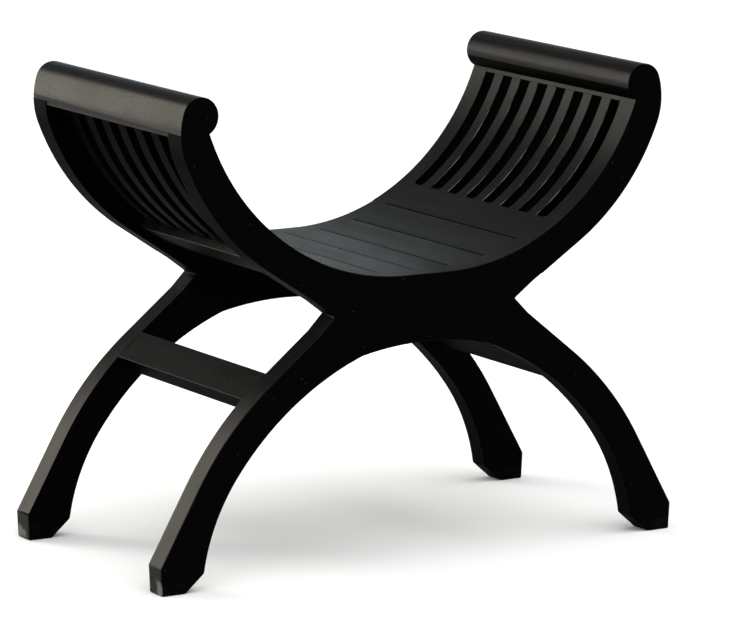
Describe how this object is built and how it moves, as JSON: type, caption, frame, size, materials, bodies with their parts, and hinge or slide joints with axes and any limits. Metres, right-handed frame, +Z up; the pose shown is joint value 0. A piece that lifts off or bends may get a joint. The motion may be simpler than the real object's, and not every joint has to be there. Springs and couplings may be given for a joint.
{
  "type": "wooden stool",
  "caption": "Curule-style wooden stool: curved boarded seat between two side frames, slatted arms with rolled top rails, arched legs and flat stretchers.",
  "frame": {"origin": "on the floor, midway between the feet", "axes": "+X along the seat from the left arm to the right arm, +Y from the front frame to the back frame, +Z up"},
  "size_m": [0.8038, 0.4, 0.6481],
  "materials": {
    "stained_wood": "black stain under satin lacquer",
    "dowel_wood": "bare beech"
  },
  "bodies": {
    "root": {"hub_front": "stained_wood", "hub_back": "stained_wood", "arm_front_left": "stained_wood", "arm_front_right": "stained_wood", "arm_back_left": "stained_wood", "arm_back_right": "stained_wood", "leg_front_left": "stained_wood", "leg_front_right": "stained_wood", "leg_back_left": "stained_wood", "leg_back_right": "stained_wood", "top_rail_left": "stained_wood", "top_rail_right": "stained_wood", "slat_rail_left": "stained_wood", "slat_rail_right": "stained_wood", "slat_left_1": "stained_wood", "slat_left_2": "stained_wood", "slat_left_3": "stained_wood", "slat_left_4": "stained_wood", "slat_left_5": "stained_wood", "slat_left_6": "stained_wood", "slat_left_7": "stained_wood", "slat_right_1": "stained_wood", "slat_right_2": "stained_wood", "slat_right_3": "stained_wood", "slat_right_4": "stained_wood", "slat_right_5": "stained_wood", "slat_right_6": "stained_wood", "slat_right_7": "stained_wood", "seat_board_left_1": "stained_wood", "seat_board_left_2": "stained_wood", "seat_board_left_3": "stained_wood", "seat_board_right_1": "stained_wood", "seat_board_right_2": "stained_wood", "seat_board_right_3": "stained_wood", "stretcher_left": "stained_wood", "stretcher_right": "stained_wood", "hub_arm_dowels": "dowel_wood", "hub_leg_dowels": "dowel_wood", "top_rail_dowels": "dowel_wood", "seat_dowels": "dowel_wood"}
  },
  "joints": []
}
